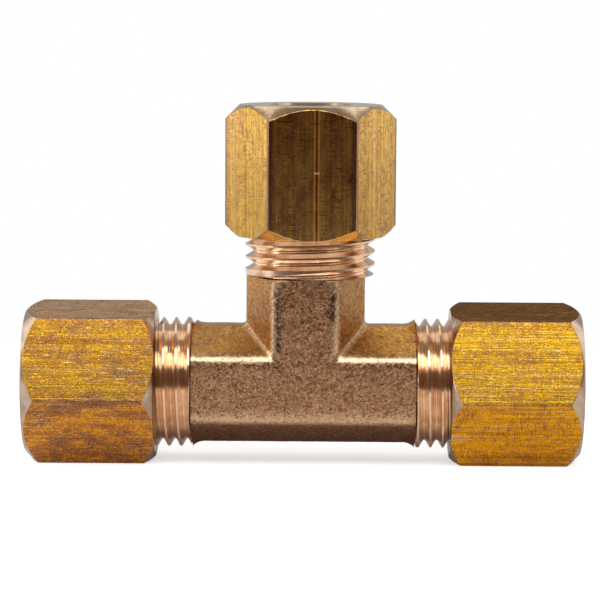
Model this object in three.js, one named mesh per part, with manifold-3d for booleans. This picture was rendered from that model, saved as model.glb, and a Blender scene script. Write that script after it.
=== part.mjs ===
// Brass compression tee for 1/4 in (6.35 mm) tube: one forged body with three threaded
// arms, three hexagon nuts that screw onto them, and the loose ferrule held in each nut.
// Units are millimetres. +Z runs up the branch, +X along the run, and -Y is the front.
// The origin is on the body's underside land, straight below the branch.
import * as THREE from "three";
import { mergeVertices } from "three/addons/utils/BufferGeometryUtils.js";
import Module from "manifold-3d";

// ---- Driving dimensions -------------------------------------------------------------

// Thread, 7/16-24 unified form: 60 degree flanks, crest flat of an eighth of the pitch.
const PITCH = 25.4 / 24;
const THREAD_MAJOR_R = 5.55;
const THREAD_DEPTH = 0.6134 * PITCH;
const CREST_HALF = PITCH / 16;
const THREAD_SEGMENTS = 24;
// The nut's thread is this much larger than the body's, across the radius and the flanks.
const RADIAL_PLAY = 0.1;
const FLANK_PLAY = 0.07;
const NUT_THREAD_MINOR_R = THREAD_MAJOR_R - THREAD_DEPTH + RADIAL_PLAY;

// Forged body section: a flattened hexagon, with its parting line on the plane y = 0.
const BODY_HALF_DEPTH = 5.2;
const BODY_HALF_HEIGHT = 5.08;
const FRONT_FLAT_HALF = 2.7;
const PARTING_LAND_HALF = 0.85;
const FORGED_EDGE_CUT = 0.3;
// The forging's branch stands a little to the left of the thread cut on it.
const BRANCH_SHIFT = -0.36;

// Each arm, measured outward from the crossing of the tube axes.
const ARM_END = 16.7;
const RAMP_LENGTH = 0.5;
const END_CHAMFER = 0.8;
const TUBE_STOP = 7.5;
const FLOW_BORE_R = 2.4;
const SOCKET_R = 3.25;
const SEAT_START = 11.45;
const SEAT_HALF_ANGLE = THREE.MathUtils.degToRad(12);

// Nut: hexagon bar 1/2 in across flats. Depths are measured from its inner, threaded end.
const NUT_ACROSS_FLATS = 12.7;
const NUT_LENGTH = 11.2;
const NUT_INNER_FACE_R = 6.4;
const NUT_OUTER_FACE_R = 6.1;
const NUT_THREAD_DEPTH = 7.4;
const NUT_HOLE_R = 3.28;
const NUT_ENTRY_R = 5.8;
const NUT_MOUTH_CHAMFER = 0.3;
// Depth of the thread groove on the line of a hexagon corner.
const NUT_GROOVE_DEPTH = 0.12;

// Ferrule: a plain sleeve with a long taper at each end, so it fits either way round.
const FERRULE_LENGTH = 5.6;
const FERRULE_BORE_R = 3.22;
const FERRULE_TIP_R = 3.6;
const FERRULE_MIDDLE = 0.6;
const FERRULE_DEPTH_IN_NUT = 2.66;

// The three arms. The forged section ends at shoulder, and the turned arm starts inside it at
// rampFoot. crestAt is where a thread crest passes the arm's local +X side. turnsBack is how
// far the nut is unscrewed, in turns from where its threaded end would reach that crest.
const ARMS = [
  {
    side: "left",
    outward: [-1, 0, 0],
    localX: [0, 0, 1],
    forgingShift: 0,
    rampFoot: 8.95,
    shoulder: 9.75,
    crestAt: 9.35,
    turnsBack: 3.732,
  },
  {
    side: "right",
    outward: [1, 0, 0],
    localX: [0, 0, 1],
    forgingShift: 0,
    rampFoot: 8.6,
    shoulder: 9.2,
    crestAt: 8.89,
    turnsBack: 3.102,
  },
  {
    side: "top",
    outward: [0, 0, 1],
    localX: [-1, 0, 0],
    forgingShift: -BRANCH_SHIFT,
    rampFoot: 8.9,
    shoulder: 9.45,
    crestAt: 9.83,
    turnsBack: 2.838,
  },
];

// Round pieces share the thread's sides, or a multiple of them, so that facets line up.
const CHAMFER_SEGMENTS = 2 * THREAD_SEGMENTS;
// How far a cutting tool runs past the face that it cuts.
const OVERRUN = 2;

const BRASS_BAR = { color: 0xb8862b, roughness: 0.35, metalness: 1 };
const FORGED_BRASS = { color: 0x9a6b43, roughness: 0.55, metalness: 1 };
const FERRULE_BRASS = { color: 0xc79a4a, roughness: 0.25, metalness: 1 };

// ---- From three.js geometry to solids and back --------------------------------------

const wasm = await Module();
wasm.setup();

function toSolid(geometry) {
  const bare = geometry.clone();
  bare.deleteAttribute("normal");
  bare.deleteAttribute("uv");
  const merged = mergeVertices(bare, 1e-4);
  const vertProperties = merged.attributes.position.array;
  const triVerts = new Uint32Array(merged.index.array);
  return new wasm.Manifold(new wasm.Mesh({ numProp: 3, vertProperties, triVerts }));
}

function toGeometry(solid) {
  const mesh = solid.getMesh();
  const geometry = new THREE.BufferGeometry();
  geometry.setAttribute("position", new THREE.BufferAttribute(mesh.vertProperties, 3));
  geometry.setIndex(new THREE.BufferAttribute(mesh.triVerts, 1));
  geometry.computeVertexNormals();
  return geometry;
}

// A solid turned about +Z from [radius, height] points that start and end on the axis.
function turned(profile, segments = THREAD_SEGMENTS) {
  const points = profile.map(([radius, height]) => new THREE.Vector2(radius, height));
  return toSolid(new THREE.LatheGeometry(points, segments).rotateX(Math.PI / 2));
}

// The matrix that carries an arm's own frame, +Z outward from the tube axes' crossing.
function armMatrix({ outward, localX }) {
  const zAxis = new THREE.Vector3(...outward);
  const xAxis = new THREE.Vector3(...localX);
  const yAxis = new THREE.Vector3().crossVectors(zAxis, xAxis);
  return new THREE.Matrix4().makeBasis(xAxis, yAxis, zAxis);
}

// ---- Screw thread --------------------------------------------------------------------

// A right-hand threaded rod about +Z that covers from..to, with a crest at height crestAt on
// the +X side. Its skin is one helical band: column i is an angle, and the rows are the
// profile's corners over one pitch, so row 4 of a column is row 0 of the column a turn on.
function threadedRod({ majorR, minorR, crestHalf, crestAt, from, to }) {
  const rootHalf = PITCH / 2 - crestHalf - (majorR - minorR) * Math.tan(Math.PI / 6);
  const profile = [
    [minorR, -PITCH / 2 + rootHalf],
    [majorR, -crestHalf],
    [majorR, crestHalf],
    [minorR, PITCH / 2 - rootHalf],
  ];
  const rows = profile.length;
  const firstTurn = Math.floor((from - crestAt) / PITCH) - 2;
  const turns = Math.ceil((to - from) / PITCH) + 4;
  const columns = turns * THREAD_SEGMENTS;
  const positions = [];
  const index = [];
  const vertexOf = (column, row) =>
    row < rows ? column * rows + row : (column + THREAD_SEGMENTS) * rows + row - rows;

  for (let column = 0; column <= columns + THREAD_SEGMENTS; column++) {
    const angle = (2 * Math.PI * (column % THREAD_SEGMENTS)) / THREAD_SEGMENTS;
    const rise = crestAt + PITCH * (firstTurn + column / THREAD_SEGMENTS);
    for (const [radius, height] of profile)
      positions.push(radius * Math.cos(angle), radius * Math.sin(angle), rise + height);
  }
  for (let column = 0; column < columns; column++)
    for (let row = 0; row < rows; row++) {
      const [a, b] = [vertexOf(column, row), vertexOf(column + 1, row)];
      const [c, d] = [vertexOf(column + 1, row + 1), vertexOf(column, row + 1)];
      index.push(a, b, c, a, c, d);
    }

  // Each end is a fan from a point on the axis to the band's edge: a turn of helix, then
  // the profile back to where the turn began.
  const fan = (firstColumn, edgeRow, stepColumn, height, flip) => {
    const loop = [];
    for (let i = 0; i <= THREAD_SEGMENTS; i++) loop.push(vertexOf(firstColumn + i, edgeRow));
    for (let row = rows - 1; row > 0; row--) loop.push(vertexOf(stepColumn, row));
    const tip = positions.length / 3;
    positions.push(0, 0, height);
    loop.forEach((vertex, i) => {
      const next = loop[(i + 1) % loop.length];
      index.push(...(flip ? [tip, next, vertex] : [tip, vertex, next]));
    });
  };
  const lowest = crestAt + PITCH * (firstTurn - 1);
  const highest = crestAt + PITCH * (firstTurn + turns + 2);
  fan(0, 0, 0, lowest, true);
  fan(columns - THREAD_SEGMENTS, rows, columns, highest, false);

  const geometry = new THREE.BufferGeometry();
  geometry.setAttribute("position", new THREE.Float32BufferAttribute(positions, 3));
  geometry.setIndex(index);
  const outline = turned([[0, from], [majorR + 1, from], [majorR + 1, to], [0, to]]);
  return toSolid(geometry).intersect(outline);
}

// ---- Body ----------------------------------------------------------------------------

// One forged limb: the flattened hexagon from the axes' crossing out to the shoulder, in the
// arm's own frame, where the parting plane is y = 0.
function forgedLimb(shoulder) {
  const corners = [
    [FRONT_FLAT_HALF, BODY_HALF_DEPTH],
    [BODY_HALF_HEIGHT, PARTING_LAND_HALF],
    [BODY_HALF_HEIGHT, -PARTING_LAND_HALF],
    [FRONT_FLAT_HALF, -BODY_HALF_DEPTH],
    [-FRONT_FLAT_HALF, -BODY_HALF_DEPTH],
    [-BODY_HALF_HEIGHT, -PARTING_LAND_HALF],
    [-BODY_HALF_HEIGHT, PARTING_LAND_HALF],
    [-FRONT_FLAT_HALF, BODY_HALF_DEPTH],
  ].map(([x, y]) => new THREE.Vector2(x, y));
  const outline = new THREE.Shape();
  corners.forEach((corner, i) => {
    const next = corners[(i + 1) % corners.length];
    const arrive = corners.at(i - 1).clone().sub(corner).setLength(FORGED_EDGE_CUT).add(corner);
    const leave = next.clone().sub(corner).setLength(FORGED_EDGE_CUT).add(corner);
    if (i === 0) outline.moveTo(arrive.x, arrive.y);
    else outline.lineTo(arrive.x, arrive.y);
    outline.quadraticCurveTo(corner.x, corner.y, leave.x, leave.y);
  });
  outline.closePath();
  const settings = { depth: shoulder, bevelEnabled: false, curveSegments: 3 };
  return toSolid(new THREE.ExtrudeGeometry(outline, settings));
}

// What an arm's thread keeps inside: a ramp up from the forging, and the chamfer that leads
// the nut on. Between them it stands clear of the thread.
function armEnvelope(rampFoot) {
  return turned([
    [0, rampFoot],
    [THREAD_MAJOR_R - RAMP_LENGTH, rampFoot],
    [THREAD_MAJOR_R + RAMP_LENGTH, rampFoot + 2 * RAMP_LENGTH],
    [THREAD_MAJOR_R + END_CHAMFER, ARM_END - 2 * END_CHAMFER],
    [THREAD_MAJOR_R - END_CHAMFER, ARM_END],
    [0, ARM_END],
  ]);
}

// What the drills take out of an arm: flow bore, tube socket and the tapered ferrule seat.
function armBore() {
  const mouthR = SOCKET_R + (ARM_END + OVERRUN - SEAT_START) * Math.tan(SEAT_HALF_ANGLE);
  return turned([
    [0, 0],
    [FLOW_BORE_R, 0],
    [FLOW_BORE_R, TUBE_STOP],
    [SOCKET_R, TUBE_STOP],
    [SOCKET_R, SEAT_START],
    [mouthR, ARM_END + OVERRUN],
    [0, ARM_END + OVERRUN],
  ]);
}

function threadedArm({ crestAt, rampFoot, shoulder, forgingShift }) {
  const rod = threadedRod({
    majorR: THREAD_MAJOR_R,
    minorR: THREAD_MAJOR_R - THREAD_DEPTH,
    crestHalf: CREST_HALF,
    crestAt,
    from: rampFoot - OVERRUN,
    to: ARM_END + OVERRUN,
  });
  const limb = forgedLimb(shoulder).translate([forgingShift, 0, 0]);
  return rod.intersect(armEnvelope(rampFoot)).add(limb);
}

function makeBody() {
  const place = (solid, arm) => solid.transform(armMatrix(arm).elements);
  const outside = ARMS.map((arm) => place(threadedArm(arm), arm)).reduce((a, b) => a.add(b));
  const bored = ARMS.map((arm) => place(armBore(), arm)).reduce((a, b) => a.subtract(b), outside);
  return toGeometry(bored);
}

// ---- Nut -----------------------------------------------------------------------------

// Hexagon bar with both ends chamfered by 45 degree cones that leave a round flat face.
function nutBlank() {
  const cornerR = NUT_ACROSS_FLATS / 2 / Math.cos(Math.PI / 6);
  const bar = new THREE.CylinderGeometry(cornerR, cornerR, NUT_LENGTH, 6)
    .rotateX(Math.PI / 2)
    .rotateZ(Math.PI / 2)
    .translate(0, 0, NUT_LENGTH / 2);
  const clearR = cornerR + 1;
  const barrel = turned([
    [0, 0],
    [NUT_INNER_FACE_R, 0],
    [clearR, clearR - NUT_INNER_FACE_R],
    [clearR, NUT_LENGTH - clearR + NUT_OUTER_FACE_R],
    [NUT_OUTER_FACE_R, NUT_LENGTH],
    [0, NUT_LENGTH],
  ], CHAMFER_SEGMENTS);
  return toSolid(bar).intersect(barrel);
}

// What the drills take out of a nut before it is tapped: the entry countersink, a pilot
// hole just smaller than the thread, the cone that pushes the ferrule, and the tube hole.
function nutDrillings() {
  const pilotR = NUT_THREAD_MINOR_R - RADIAL_PLAY;
  return turned([
    [0, -OVERRUN],
    [NUT_ENTRY_R + OVERRUN, -OVERRUN],
    [pilotR, NUT_ENTRY_R - pilotR],
    [pilotR, NUT_THREAD_DEPTH],
    [NUT_HOLE_R, NUT_THREAD_DEPTH + pilotR - NUT_HOLE_R],
    [NUT_HOLE_R, NUT_LENGTH - NUT_MOUTH_CHAMFER],
    [NUT_HOLE_R + NUT_MOUTH_CHAMFER + OVERRUN, NUT_LENGTH + OVERRUN],
    [0, NUT_LENGTH + OVERRUN],
  ]);
}

function makeNut() {
  const tap = threadedRod({
    majorR: THREAD_MAJOR_R + RADIAL_PLAY,
    minorR: NUT_THREAD_MINOR_R,
    crestHalf: CREST_HALF + FLANK_PLAY - RADIAL_PLAY * Math.tan(Math.PI / 6),
    crestAt: NUT_GROOVE_DEPTH,
    from: -OVERRUN,
    to: NUT_THREAD_DEPTH,
  });
  return toGeometry(nutBlank().subtract(nutDrillings()).subtract(tap));
}

// ---- Ferrule -------------------------------------------------------------------------

function makeFerrule() {
  const taper = (FERRULE_LENGTH - FERRULE_MIDDLE) / 2;
  const middleR = FERRULE_TIP_R + taper * Math.tan(SEAT_HALF_ANGLE);
  const sleeve = turned([
    [0, 0],
    [FERRULE_TIP_R, 0],
    [middleR, taper],
    [middleR, taper + FERRULE_MIDDLE],
    [FERRULE_TIP_R, FERRULE_LENGTH],
    [0, FERRULE_LENGTH],
  ]);
  const bore = turned([
    [0, -OVERRUN],
    [FERRULE_BORE_R, -OVERRUN],
    [FERRULE_BORE_R, FERRULE_LENGTH + OVERRUN],
    [0, FERRULE_LENGTH + OVERRUN],
  ]);
  return toGeometry(sleeve.subtract(bore));
}

// ---- Assembly ------------------------------------------------------------------------

function named(name, geometry, finish) {
  const mesh = new THREE.Mesh(geometry, new THREE.MeshStandardMaterial(finish));
  mesh.name = name;
  return mesh;
}

const tee = new THREE.Group();
const axesCrossing = new THREE.Group();
axesCrossing.position.z = BODY_HALF_HEIGHT;
tee.add(axesCrossing);
axesCrossing.add(named("tee_body", makeBody(), FORGED_BRASS));

const nutGeometry = makeNut();
const ferruleGeometry = makeFerrule();
for (const arm of ARMS) {
  // The nut turns as it moves out, so its thread stays in step with the arm's.
  const armFrame = new THREE.Group();
  armFrame.quaternion.setFromRotationMatrix(armMatrix(arm));
  const nutEnd = arm.crestAt - NUT_GROOVE_DEPTH + PITCH * arm.turnsBack;

  const nut = named(`${arm.side}_nut`, nutGeometry, BRASS_BAR);
  nut.position.z = nutEnd;
  nut.rotation.z = 2 * Math.PI * arm.turnsBack;
  const ferrule = named(`${arm.side}_ferrule`, ferruleGeometry, FERRULE_BRASS);
  ferrule.position.z = nutEnd + FERRULE_DEPTH_IN_NUT;

  armFrame.add(nut, ferrule);
  axesCrossing.add(armFrame);
}

export default tee;
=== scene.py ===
"""Looks of a brass compression tee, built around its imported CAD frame."""

import math

import bpy
import numpy as np
from mathutils import Matrix, Vector, noise


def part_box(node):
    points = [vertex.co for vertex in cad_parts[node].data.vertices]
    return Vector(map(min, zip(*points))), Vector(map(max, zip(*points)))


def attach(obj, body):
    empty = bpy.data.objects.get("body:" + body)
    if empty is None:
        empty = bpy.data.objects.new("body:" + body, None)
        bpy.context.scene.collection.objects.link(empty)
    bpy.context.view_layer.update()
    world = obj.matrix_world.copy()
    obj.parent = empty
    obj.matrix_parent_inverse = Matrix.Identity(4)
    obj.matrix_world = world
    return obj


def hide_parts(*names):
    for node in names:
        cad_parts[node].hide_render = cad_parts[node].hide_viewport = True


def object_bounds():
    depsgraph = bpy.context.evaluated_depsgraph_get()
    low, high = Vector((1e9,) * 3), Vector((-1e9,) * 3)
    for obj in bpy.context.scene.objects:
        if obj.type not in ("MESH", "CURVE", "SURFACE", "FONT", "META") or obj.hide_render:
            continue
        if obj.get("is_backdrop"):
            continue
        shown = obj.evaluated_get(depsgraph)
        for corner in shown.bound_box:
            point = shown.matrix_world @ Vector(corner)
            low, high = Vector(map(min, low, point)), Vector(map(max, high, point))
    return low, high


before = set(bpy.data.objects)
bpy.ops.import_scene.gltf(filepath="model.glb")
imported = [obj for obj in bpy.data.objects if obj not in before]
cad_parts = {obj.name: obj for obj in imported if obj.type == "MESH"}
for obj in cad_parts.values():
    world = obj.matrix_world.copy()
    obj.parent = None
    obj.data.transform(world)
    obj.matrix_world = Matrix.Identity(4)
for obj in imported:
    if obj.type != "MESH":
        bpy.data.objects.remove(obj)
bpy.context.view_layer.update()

# ---- Sizes, in millimetres as in the CAD ---------------------------------------------

MM = 0.001

# Columns round what is turned and swept, and round the bores, and the points across a
# rounded edge. Edges of more than SHARP_DEGREES are shaded as sharp.
COLUMNS = 144
BORE_COLUMNS = 96
EDGE_STEPS = 4
SHARP_DEGREES = 30

# Material slots of a piece: as forged or drawn, and as cut on a lathe.
RAW = 0
CUT = 1

# The thread, with 24 turns to the inch. Its depth is 17/24 of a sharp 60 degree V. The
# groove's V goes ROOT_FILL deeper, and the rounding of its root takes that up. A cutter
# starts FADE_HEIGHT clear of its work and is at depth FADE_DEGREES later.
PITCH = 25.4 / 24
THREAD_R = 5.55
THREAD_DEPTH = 0.6134 * PITCH
CREST_HALF = PITCH / 16
ROOT_ROUNDING = 0.26
ROOT_FILL = 0.1
GROOVE_LIP = 0.05
GROOVE_CLEAR = 0.8
PLAY = 0.1
FADE_HEIGHT = 0.85
FADE_DEGREES = 100
NUT_FADE_DEGREES = 90

# The forging.
HALF_DEPTH = 5.2
HALF_HEIGHT = 5.08
FRONT_FLAT_HALF = 2.7
LAND_HALF = 0.85
EDGE_ROUNDING = 0.85
LAND_ROUNDING = 0.18
BRANCH_SHIFT = -0.36
LAP_MIDDLE = 2.3
LAP_WIDTH = 0.3
LAP_TOP = 9.0
LAP_FADE = 0.8
LAP_DEPTH_FROM = 0.35
LAP_DEPTH_FADE = 0.15
SHORT_LAP_FOOT = 5.4
MITRE_WIDTH = 0.5
MITRE_UNDER = 0.3
MITRE_OVER = 0.5
LEAST_MITRE = 0.02
# The mitres' fillets are painted paler, as painted highlight, by this share of their strength. The
# long outside edges are paler over the next width, partly from rubbing and partly as painted
# highlight, and less so underneath.
MITRE_BRIGHTNESS = 0.35
RUBBED_WIDTH = 0.4
UNDERSIDE_RUBBING = 0.85
LAND_FADE = 0.2

# The forging's mesh: the spare length at each end, its voxels, and each smoothing's
# factor and number of rounds.
SPARE_LENGTH = 0.6
VOXEL = 0.085
SKIN_SMOOTHING = (0.5, 12)
FILLET_SMOOTHING = (0.6, 60)

# The forging's skin: waves per millimetre and how high they are, and how much of that the
# trimming and the rubbing take away. The laps are torn more finely, and sunk.
SKIN_WAVES = ((1.1, 0.016), (3.0, 0.011), (5.5, 0.006))
LAND_CALM = 0.7
RUBBED_CALM = 0.85
LAP_WAVES = Vector((6, 6, 3))
LAP_TEAR = 0.07
LAP_SINK = 0.02

# The arms' turned ends and bores.
RAMP_LENGTH = 0.4
CORE_R = 4.3
FACING_R = THREAD_R + 3
BLANK_OVERLAP = 0.5
FLARE_LENGTH = 1.0
FLARE_RISE = 0.48
FLARE_WIDTH = 1.6
FLARE_BAND = 1.5
ARM_END = 16.7
THREAD_END_CHAMFER = 0.75
TURNED_EDGE = 0.08
DRILLED_EDGE = 0.06
TUBE_STOP = 7.5
FLOW_BORE_R = 2.4
SOCKET_R = 3.25
SEAT_START = 11.45
SEAT_SLOPE = math.tan(math.radians(12))

# The nut. The tone of a flat, partly tarnish and partly painted light and shade, begins
# FLAT_FROM out from the axis and is full at FLAT_TO.
# The thread groove passes the nut's own X at NUT_GROOVE_AT. It starts at the angle
# TAP_FROM, outside the nut, and ends TAP_RUN_OUT short of the thread's depth.
ACROSS_FLATS = 12.7
NUT_LENGTH = 11.2
NUT_INNER_FACE_R = 6.4
NUT_OUTER_FACE_R = 6.1
NUT_CORNER_R = 0.12
CORNER_DEGREES = 2
CORNER_COLUMNS = 11
FLAT_COLUMNS = 29
NUT_EDGE = 0.05
LEAST_CHAMFER = 0.02
FLAT_FROM = ACROSS_FLATS / 2 - 0.1
FLAT_TO = ACROSS_FLATS / 2 - 0.03
SEAM_RIM = 0.19
NICK_HEIGHT = 5.7
NUT_THREAD_DEPTH = 7.4
NUT_HOLE_R = 3.28
NUT_ENTRY_R = 5.8
NUT_MOUTH_CHAMFER = 0.3
NUT_GROOVE_AT = 0.12
NUT_GROOVE_HALF = 0.42 * PITCH
TAP_FROM = -540
TAP_RUN_OUT = 0.9 * PITCH

FERRULE_LENGTH = 5.6
FERRULE_BORE_R = 3.22
FERRULE_TIP_R = 3.6
FERRULE_MIDDLE_R = 4.13
FERRULE_EDGE = 0.1

# outward and local_x are an arm's own Z and X. crest_at is where a thread crest passes
# local X, shoulder is where the forging ends, ramp_top is where the turned ramp reaches
# the thread's full size, and the groove starts at the angle groove_from.
ARMS = {
    "left": {
        "outward": (-1, 0, 0),
        "local_x": (0, 0, 1),
        "crest_at": 9.35,
        "shoulder": 10.0,
        "ramp_top": 10.14,
        "groove_from": -50,
    },
    "right": {
        "outward": (1, 0, 0),
        "local_x": (0, 0, 1),
        "crest_at": 8.89,
        "shoulder": 9.05,
        "ramp_top": 9.19,
        "groove_from": -100,
    },
    "top": {
        "outward": (0, 0, 1),
        "local_x": (-1, 0, 0),
        "crest_at": 9.83,
        "shoulder": 9.3,
        "ramp_top": 9.45,
        "groove_from": -330,
    },
}

# ---- Camera --------------------------------------------------------------------------

AXIS_HEIGHT = sum(corner.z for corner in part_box("right_nut")) / 2 / MM
CROSSING = Vector((0, 0, AXIS_HEIGHT))

YAW = math.radians(-0.53)
TILT = math.radians(6.2)
ROLL = math.radians(0.35)
CAMERA_DISTANCE = 238.2
TARGET_RIGHT = -0.806
TARGET_UP = 7.087
SENSOR = 36.0
LENS = 165.7


def make_camera():
    forward = Vector(
        (math.sin(YAW) * math.cos(TILT), math.cos(YAW) * math.cos(TILT), -math.sin(TILT))
    )
    level = Vector((math.cos(YAW), -math.sin(YAW), 0))
    right = Matrix.Rotation(-ROLL, 3, forward) @ level
    up = right.cross(forward)
    target = CROSSING + TARGET_RIGHT * right + TARGET_UP * up
    data = bpy.data.cameras.new("camera")
    data.sensor_width = SENSOR
    data.lens = LENS
    data.clip_start = 0.01
    camera = bpy.data.objects.new("camera", data)
    turn = Matrix((right, up, -forward)).transposed().to_4x4()
    camera.matrix_world = Matrix.Translation((target - forward * CAMERA_DISTANCE) * MM) @ turn
    bpy.context.collection.objects.link(camera)
    bpy.context.scene.camera = camera


# ---- Mesh helpers: points are rows of (x, y, z) in millimetres -----------------------


def signed_volume(points, faces):
    total = 0.0
    for face in faces:
        corners = points[list(face)]
        for second, third in zip(corners[1:-1], corners[2:]):
            total += np.dot(corners[0], np.cross(second, third))
    return total / 6


def new_object(name, points, faces, finish=RAW):
    """A closed mesh with its faces turned outward, all in the material slot finish."""
    points = np.asarray(points, float)
    if signed_volume(points, faces) < 0:
        faces = [tuple(reversed(face)) for face in faces]
    mesh = bpy.data.meshes.new(name)
    mesh.from_pydata(points.tolist(), [], [tuple(map(int, face)) for face in faces])
    for _ in (RAW, CUT):
        mesh.materials.append(None)
    mesh.polygons.foreach_set("material_index", np.full(len(faces), finish, np.int32))
    mesh.update()
    made = bpy.data.objects.new(name, mesh)
    bpy.context.collection.objects.link(made)
    return made


def ring_faces(rings, columns, closed):
    """Quads between rings of `columns` points each, numbered ring by ring."""
    faces = []
    for ring in range(rings if closed else rings - 1):
        here, there = ring * columns, (ring + 1) % rings * columns
        for i in range(columns):
            j = (i + 1) % columns
            faces.append((here + i, here + j, there + j, there + i))
    return faces


def turned(name, profile, columns=COLUMNS):
    """A solid of revolution about Z. The profile runs from (0, low) to (0, high)."""
    angles = np.arange(columns) * 2 * math.pi / columns
    body = profile[1:-1]
    points = [(r * math.cos(a), r * math.sin(a), z) for r, z in body for a in angles]
    faces = ring_faces(len(body), columns, closed=False)
    foot, tip = len(points), len(points) + 1
    last = (len(body) - 1) * columns
    points += [(0, 0, profile[0][1]), (0, 0, profile[-1][1])]
    for i in range(columns):
        j = (i + 1) % columns
        faces.append((foot, j, i))
        faces.append((tip, last + i, last + j))
    return new_object(name, points, faces, CUT)


def turned_ring(name, profile):
    """A ring of revolution about Z, round whose section the profile runs once."""
    angles = np.arange(COLUMNS) * 2 * math.pi / COLUMNS
    points = [(r * math.cos(a), r * math.sin(a), z) for r, z in profile for a in angles]
    return new_object(name, points, ring_faces(len(profile), COLUMNS, closed=True), CUT)


def rounded(corners, reach, steps=EDGE_STEPS, closed=False):
    """The outline through (r, z) corners, each cut by a curve that starts reach before it.

    reach is one length, or a list with one for each corner. No curve takes up more than
    0.45 of a side."""
    corners = [np.array(corner, float) for corner in corners]
    count = len(corners)
    reaches = reach if isinstance(reach, list) else [reach] * count
    outline = []
    for i, corner in enumerate(corners):
        if not closed and i in (0, count - 1):
            outline.append(corner)
            continue
        before, after = corners[i - 1] - corner, corners[(i + 1) % count] - corner
        cut = min(reaches[i], np.linalg.norm(before) * 0.45, np.linalg.norm(after) * 0.45)
        start = corner + before / np.linalg.norm(before) * cut
        end = corner + after / np.linalg.norm(after) * cut
        for t in np.linspace(0, 1, steps):
            outline.append(start * (1 - t) ** 2 + corner * 2 * t * (1 - t) + end * t**2)
    return [tuple(point) for point in outline]


def helical(name, section, crest_at, first, last, lift):
    """A closed section of (r, t) points swept along the thread from angle first to last.

    lift(angle) is added to every radius: it takes the cutter out of the work."""
    columns = math.ceil((last - first) / 360 * COLUMNS)
    angles = np.radians(np.linspace(first, last, columns + 1))
    points = []
    for angle in angles:
        rise = crest_at + PITCH * angle / (2 * math.pi)
        out = lift(math.degrees(angle))
        across, deep = math.cos(angle), math.sin(angle)
        points += [((r + out) * across, (r + out) * deep, rise + t) for r, t in section]
    size = len(section)
    faces = ring_faces(len(angles), size, closed=False)
    faces.append(tuple(reversed(range(size))))
    faces.append(tuple(range(columns * size, (columns + 1) * size)))
    return new_object(name, points, faces, CUT)


def points_of(mesh):
    spots = np.zeros(len(mesh.vertices) * 3, np.float32)
    mesh.vertices.foreach_get("co", spots)
    return spots.reshape(-1, 3)


def evaluated(thing):
    """The mesh of an object with its modifiers applied."""
    graph = bpy.context.evaluated_depsgraph_get()
    graph.update()
    return bpy.data.meshes.new_from_object(thing.evaluated_get(graph))


def combine(base, tools):
    """Applies (operation, tool) booleans to base in turn, and deletes the tools."""
    for operation, tool in tools:
        modifier = base.modifiers.new(tool.name, "BOOLEAN")
        modifier.operation = operation
        modifier.solver = "MANIFOLD"
        modifier.object = tool
    result = evaluated(base)
    base.modifiers.clear()
    base.data = result
    for _, tool in tools:
        bpy.data.objects.remove(tool)
    return base


def arm_matrix(arm):
    z_axis, x_axis = Vector(arm["outward"]), Vector(arm["local_x"])
    return Matrix((x_axis, z_axis.cross(x_axis), z_axis)).transposed().to_4x4()


# ---- Body ----------------------------------------------------------------------------


def forged_limb(name, start, end, shift=0.0):
    """The flattened hexagon, X high and Y deep, from z = start to z = end."""
    quarter = [(FRONT_FLAT_HALF, HALF_DEPTH), (HALF_HEIGHT, LAND_HALF)]
    corners = quarter + [(x, -y) for x, y in reversed(quarter)]
    corners += [(-x, -y) for x, y in quarter] + [(-x, y) for x, y in reversed(quarter)]
    reaches = [EDGE_ROUNDING, LAND_ROUNDING, LAND_ROUNDING, EDGE_ROUNDING] * 2
    outline = rounded(corners, reaches, steps=7, closed=True)
    points = [(x + shift, y, z) for z in (start, end) for x, y in outline]
    faces = ring_faces(2, len(outline), closed=False)
    faces.append(tuple(reversed(range(len(outline)))))
    faces.append(tuple(range(len(outline), 2 * len(outline))))
    return new_object(name, points, faces)


def lap_strength(spots):
    """1 along the rough laps just inside the edges of the branch's front and back flats."""
    x, y, z = spots.T
    across = np.abs(x - BRANCH_SHIFT) - LAP_MIDDLE
    on_flat = np.clip((np.abs(y) - HALF_DEPTH + LAP_DEPTH_FROM) / LAP_DEPTH_FADE, 0, 1)
    foot = np.where(x < BRANCH_SHIFT, FRONT_FLAT_HALF, SHORT_LAP_FOOT)
    up = np.clip((z - foot) / LAP_FADE, 0, 1) * np.clip((LAP_TOP - z) / LAP_FADE, 0, 1)
    return np.exp(-((across / LAP_WIDTH) ** 2)) * on_flat * up


def flare(spots):
    """How far the land under and over the run swells out towards the threads."""
    x, y, z = spots.T
    ends = np.where(x < 0, ARMS["left"]["shoulder"], ARMS["right"]["shoulder"])
    near_end = np.clip((np.abs(x) - ends) / FLARE_LENGTH + 1, 0, 1)
    near_land = np.exp(-((y / FLARE_WIDTH) ** 2)) * (np.abs(z) > HALF_HEIGHT - FLARE_BAND)
    return FLARE_RISE * near_end**2 * near_land


def mitre_strength(spots):
    """1 along the four inside corners where the branch's sloping flats meet the run's."""
    x, _, z = spots.T
    off = np.abs(x - BRANCH_SHIFT) - z
    beside = (z > FRONT_FLAT_HALF - MITRE_UNDER) & (z < HALF_HEIGHT + MITRE_OVER)
    return np.exp(-((off / MITRE_WIDTH) ** 2)) * beside


def rubbed_strength(spots):
    """1 along the long outside edges, and less underneath. Handling rubs them smooth, and
    they are painted paler: partly the rubbing, partly painted highlight.
    """
    x, y, z = spots.T
    deep = np.abs(y) - HALF_DEPTH
    on_run = np.hypot(np.abs(z) - FRONT_FLAT_HALF, deep) / RUBBED_WIDTH
    on_branch = np.hypot(np.abs(x - BRANCH_SHIFT) - FRONT_FLAT_HALF, deep) / RUBBED_WIDTH
    under_branch = (z > 0) & (np.abs(x - BRANCH_SHIFT) < FRONT_FLAT_HALF)
    on_run = np.where(under_branch, np.inf, on_run)
    on_branch = np.where(z < FRONT_FLAT_HALF, np.inf, on_branch)
    strength = np.exp(-(np.minimum(on_run, on_branch) ** 2))
    return np.where(z < 0, UNDERSIDE_RUBBING, 1) * strength


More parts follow.
